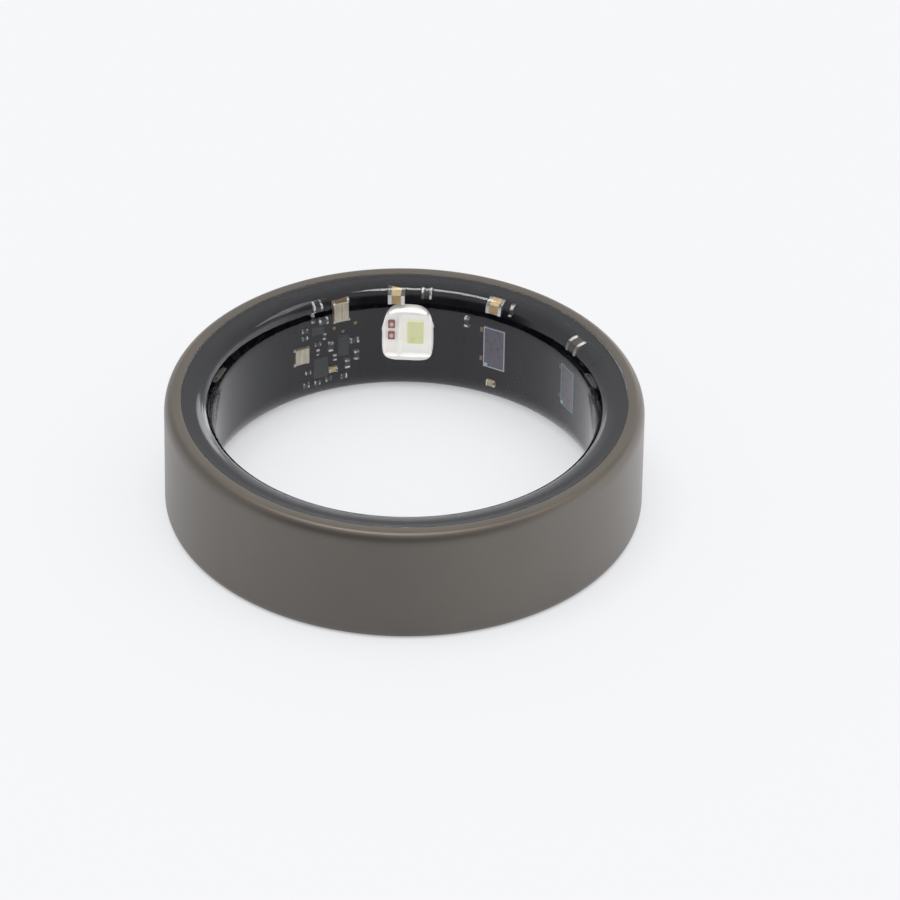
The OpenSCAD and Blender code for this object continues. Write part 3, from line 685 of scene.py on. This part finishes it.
def add_world():
    """A pale studio: bright low down at the back, with soft windows, and dark low down in front."""
    world = bpy.data.worlds.new("studio")
    bpy.context.scene.world = world
    world.use_nodes = True
    nodes = Nodes(world.node_tree)
    background = nodes.tree.nodes["Background"]
    background.inputs["Color"].default_value = (0.97, 0.98, 1.0, 1)
    direction = nodes.add("ShaderNodeTexCoord").outputs["Generated"]

    def step(value, start, end, at_start, at_end):
        node = nodes.add("ShaderNodeMapRange", interpolation_type="SMOOTHSTEP", From_Min=start,
                         From_Max=end, To_Min=at_start, To_Max=at_end)
        nodes.link(value, node.inputs["Value"])
        return node.outputs[0]

    def low_zone(letter, start, end, low, high):
        """Full beyond a reach along one axis, and below a height."""
        reached = step(nodes.axis("Generated", letter), start, end, 0, 1)
        below = step(nodes.axis("Generated", "Z"), low, high, 1, 0)
        return nodes.calculate("MULTIPLY", reached, below)

    back = nodes.calculate("MULTIPLY", low_zone("Y", 0.78, 0.95, 0.25, 0.65), BACK_GLOW)
    front = nodes.calculate("MULTIPLY", low_zone("Y", -0.15, -0.5, 0.35, 0.8), FRONT_DARK)
    right = nodes.calculate("MULTIPLY", low_zone("X", 0.4, 0.85, 0.2, 0.5), RIGHT_GLOW)
    shown = nodes.calculate("SUBTRACT", nodes.calculate("ADD", 1.0, back), front)
    shown = nodes.calculate("ADD", shown, right)
    for turn, height, strength in WINDOWS:
        turn, height = math.radians(turn), math.radians(height)
        level = math.cos(height)
        middle = (math.sin(turn) * level, math.cos(turn) * level, math.sin(height))
        lit = step(nodes.vector("DOT_PRODUCT", direction, middle), *WINDOW_EDGE, 0, 1)
        shown = nodes.calculate("ADD", shown, nodes.calculate("MULTIPLY", lit, strength))
    strength = nodes.add("ShaderNodeMix")
    nodes.fill((strength.inputs["Factor"], strength.inputs[NUMBER_A], strength.inputs[NUMBER_B]),
               (seen_ray(nodes), WORLD_LIGHT, shown))
    nodes.link(strength.outputs[0], background.inputs["Strength"])


def add_area(name, place, size, watts, along=(1, 0, 0)):
    """A soft lamp that faces the ring, its long side along a direction, with sizes in metres."""
    light = bpy.data.lights.new(name, "AREA")
    light.shape = "RECTANGLE"
    light.size, light.size_y = size
    light.energy = watts
    back = Vector(place).normalized()
    side = (Vector(along) - back * back.dot(Vector(along))).normalized()
    facing = Matrix((side, back.cross(side), back)).transposed().to_4x4()
    obj = bpy.data.objects.new(name, light)
    obj.matrix_world = Matrix.Translation(place) @ facing
    bpy.context.scene.collection.objects.link(obj)


def add_camera():
    """A long lens, 34.9 degrees above the table."""
    back = Vector((0, -math.cos(CAMERA_ELEVATION), math.sin(CAMERA_ELEVATION)))
    place = back * CAMERA_DISTANCE * MM + Vector((0, 0, HALF_W * MM))
    right = Vector((1, 0, 0))
    up = right.cross(-back)
    c, s = math.cos(CAMERA_ROLL), math.sin(CAMERA_ROLL)
    level = Matrix((right * c + up * s, up * c - right * s, back)).transposed()
    off_x, off_y = ((at - FRAME_PX / 2) / FOCAL_PX for at in SEEN_AT)
    towards = Vector((off_x, -off_y, -1)).normalized()
    swing = Vector((0, 0, -1)).rotation_difference(towards).to_matrix()
    camera = bpy.data.cameras.new("camera")
    camera.sensor_width = SENSOR_W
    camera.lens = SENSOR_W * FOCAL_PX / FRAME_PX
    camera.clip_start, camera.clip_end = CLIP
    obj = bpy.data.objects.new("camera", camera)
    obj.matrix_world = Matrix.Translation(place) @ (level @ swing.inverted()).to_4x4()
    bpy.context.scene.collection.objects.link(obj)
    bpy.context.scene.camera = obj


bpy.context.scene.view_settings.view_transform = "Standard"
add_floor()
add_world()
add_camera()
add_area("strip", (-0.09, -0.05, 0.85), (0.55, 0.26), 4.0, (0.525, -0.18, 0))
add_area("side", (0.56, 0.02, 0.75), (0.4, 0.35), 1.0)

band = band_mesh()
band.data.materials.append(band_material())
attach(band, BODY)
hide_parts("outer_shell")

liner = liner_mesh()
liner.data.materials.append(glass_material("clear_resin", (0.985, 0.988, 0.99), 1.5))
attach(liner, BODY)
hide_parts("resin_liner", "emitter_encapsulant")

lining = lining_mesh()
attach(lining, BODY)

housing = housing_mesh()
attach(housing, BODY)
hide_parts("emitter_package")

wires = bond_wires()
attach(wires, BODY)

corners = crystal_corners()
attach(corners, BODY)

# Finishes by name: two colours, marks a metre, and the range of roughness
FINISH = {
    "black_film": mottled("black_film", (0.0033, 0.0033, 0.0052), (0.0056, 0.0056, 0.0084), 900,
                          (0.5, 0.7), gloss=0.0),
    "flex": mottled("flex_circuit", (0.004, 0.0042, 0.005), (0.007, 0.0075, 0.009), 1200,
                    (0.5, 0.6), gloss=0.0),
    "board": mottled("board_mask", (0.0042, 0.0044, 0.0078), (0.007, 0.0074, 0.0118), 1500,
                     (0.5, 0.6), gloss=0.02),
    "adhesive": mottled("adhesive", (0.05, 0.05, 0.052), (0.07, 0.07, 0.072), 900, (0.6, 0.8)),
    "chip": mottled("chip_mould", (0.008, 0.009, 0.012), (0.016, 0.018, 0.024), 4000, (0.4, 0.6)),
    "inductor": mottled("inductor_body", (0.02, 0.02, 0.022), (0.04, 0.04, 0.042), 6000,
                        (0.6, 0.8)),
    "crystal_base": mottled("crystal_ceramic", (0.16, 0.09, 0.04), (0.24, 0.15, 0.07), 5000,
                            (0.5, 0.7)),
    "crystal_lid": brushed("crystal_lid", (0.56, 0.5, 0.39), (0.78, 0.71, 0.58)),
    "housing": housing_material(),
    "red_die": red_die_material(),
    "green_die": mottled("green_die", (0.84, 0.85, 0.45), (0.93, 0.93, 0.58), 6000, (0.4, 0.5)),
    "gold": mottled("gold_pad", (0.72, 0.55, 0.3), (0.85, 0.68, 0.42), 9000, (0.3, 0.4), 1.0),
    # The far colour of the pads, guard rings and tan capacitors is painted shade over the far
    # receiver
    "pad": shaded_towards_far("pad_metal", ((0.2, 0.11, 0.04), (0.42, 0.26, 0.12)), (0.12, 0.12, 0.12),
                      scale=5200, roughness=(0.35, 0.5), metallic=0.6),
    "diode": mottled("diode_silicon", (0.09, 0.08, 0.115), (0.115, 0.1, 0.145), 3000,
                     (0.25, 0.35)),
    "guard": shaded_towards_far("guard_metal", ((0.5, 0.47, 0.6), (0.66, 0.64, 0.76)), (0.14, 0.3, 0.3),
                        scale=6000, roughness=(0.35, 0.45), metallic=0.2),
    "bond_pad": mottled("bond_pad", (0.35, 0.6, 0.5), (0.55, 0.78, 0.68), 6000, (0.35, 0.45), 0.3),
    "tan_ceramic": shaded_towards_far("tan_ceramic", ((0.52, 0.38, 0.17), (0.68, 0.51, 0.27)),
                              (0.05, 0.035, 0.02), scale=5000, roughness=(0.4, 0.55)),
    "tin": mottled("tin", (0.72, 0.71, 0.69), (0.88, 0.87, 0.85), 9000, (0.25, 0.4), 1.0),
    "solder": glint_speckled("solder", (0.1, 0.1, 0.1), (0.97, 0.96, 0.92), 5200, 0.35),
    "dark_ceramic": mottled("dark_ceramic", (0.012, 0.012, 0.014), (0.02, 0.02, 0.024), 6000,
                            (0.4, 0.5)),
    "foil": mottled("battery_foil", (0.4, 0.4, 0.41), (0.5, 0.5, 0.51), 900, (0.3, 0.5), 0.8),
    "nickel": mottled("nickel", (0.55, 0.53, 0.5), (0.7, 0.68, 0.65), 3000, (0.3, 0.4), 1.0),
    "copper": mottled("copper", (0.6, 0.3, 0.18), (0.75, 0.42, 0.27), 3000, (0.3, 0.4), 1.0),
    "ferrite": mottled("ferrite", (0.03, 0.03, 0.032), (0.05, 0.05, 0.052), 2500, (0.5, 0.7)),
}
# Painted light: the white housing and the green die glow faintly though neither is a lamp, to
# brighten them
FINISH["housing"].set(Emission_Color=(1.0, 0.985, 0.955), Emission_Strength=0.26)
FINISH["green_die"].set(Emission_Color=(0.8, 0.86, 0.4), Emission_Strength=0.2)

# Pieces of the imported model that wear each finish
WORN_BY = {
    "black_film": ("insulating_film", "battery_wrap", "coil_cover_film"),
    "flex": ("flex_strip",),
    "board": ("processor_board", "emitter_board", "near_receiver_board", "far_receiver_board",
              "power_board"),
    "adhesive": ("section_backings", "battery_adhesive"),
    "chip": ("radio_processor", "motion_sensor", "optical_front_end", "power_manager",
             "memory_chip", "protection_chip"),
    "inductor": ("power_inductor",),
    "crystal_base": ("radio_crystal_base", "clock_crystal_base"),
    "crystal_lid": ("radio_crystal_lid", "clock_crystal_lid"),
    "housing": ("emitter_package",),
    "red_die": ("red_emitter_die", "infrared_emitter_die"),
    "green_die": ("green_emitter_die",),
    "gold": ("emitter_pads",),
    "pad": ("board_pads",),
    "diode": ("near_photodiode", "far_photodiode"),
    "guard": ("photodiode_guard_rings",),
    "bond_pad": ("photodiode_bond_pads",),
    "tan_ceramic": ("bulk_capacitors", "tan_capacitor_bodies"),
    "tin": ("bulk_capacitor_caps",),
    "solder": ("small_part_terminals",),
    "dark_ceramic": ("small_part_bodies", "skin_thermistor"),
    "foil": ("battery_cell",),
    "nickel": ("battery_tabs",),
    "copper": ("charging_coil", "antenna_trace"),
    "ferrite": ("ferrite_sheet",),
}
for finish, names in WORN_BY.items():
    for name in names:
        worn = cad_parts[name].data.materials
        worn.clear()
        worn.append(FINISH[finish].material)
MADE_HERE = ((lining, "black_film"), (housing, "housing"), (wires, "gold"), (corners, "solder"))
for piece, finish in MADE_HERE:
    piece.data.materials.append(FINISH[finish].material)
